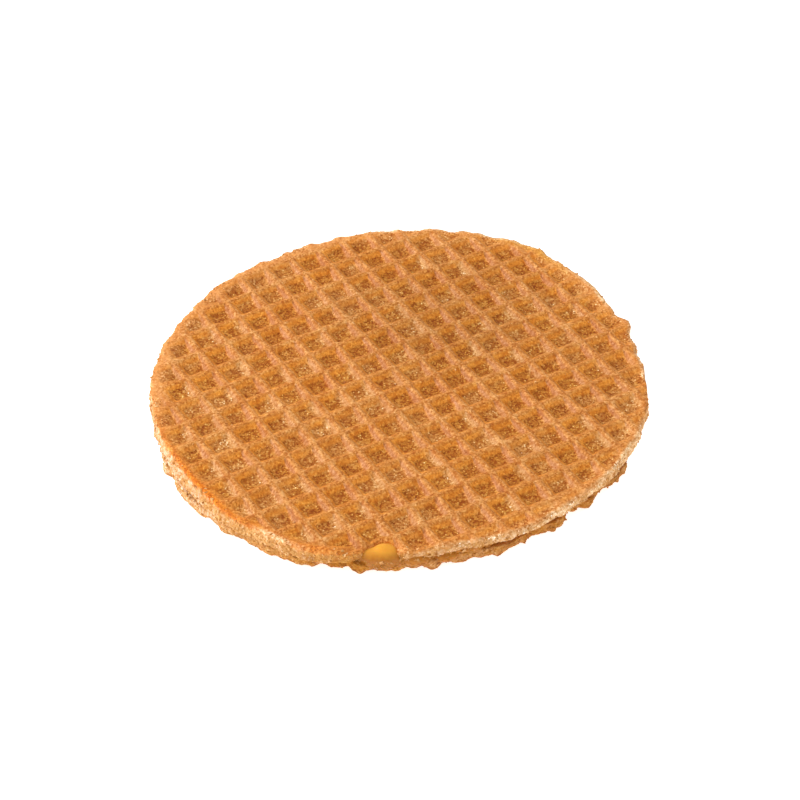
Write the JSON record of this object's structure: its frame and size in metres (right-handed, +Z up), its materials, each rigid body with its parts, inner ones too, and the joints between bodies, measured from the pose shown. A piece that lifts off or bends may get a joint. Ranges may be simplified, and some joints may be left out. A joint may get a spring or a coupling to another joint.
{
  "type": "stroopwafel",
  "caption": "Round stroopwafel: thin golden-brown waffle wafers with a grid of pits, joined by a layer of caramel syrup that shows at the rim.",
  "frame": {"origin": "on the resting plane, under the middle of the biscuit's footprint", "axes": "+Z up, out of the top wafer's waffle grid; +X to the right and +Y away when the side with the squeezed-out syrup blob faces the viewer; the grid's wide ridges run at 119.7 degrees from +X"},
  "size_m": [0.0988, 0.1022, 0.006],
  "materials": {
    "wafer_top": null,
    "syrup": null,
    "wafer_bottom": null
  },
  "bodies": {
    "root": {"wafer_top": "wafer_top", "syrup": "syrup", "wafer_bottom": "wafer_bottom"}
  },
  "joints": []
}
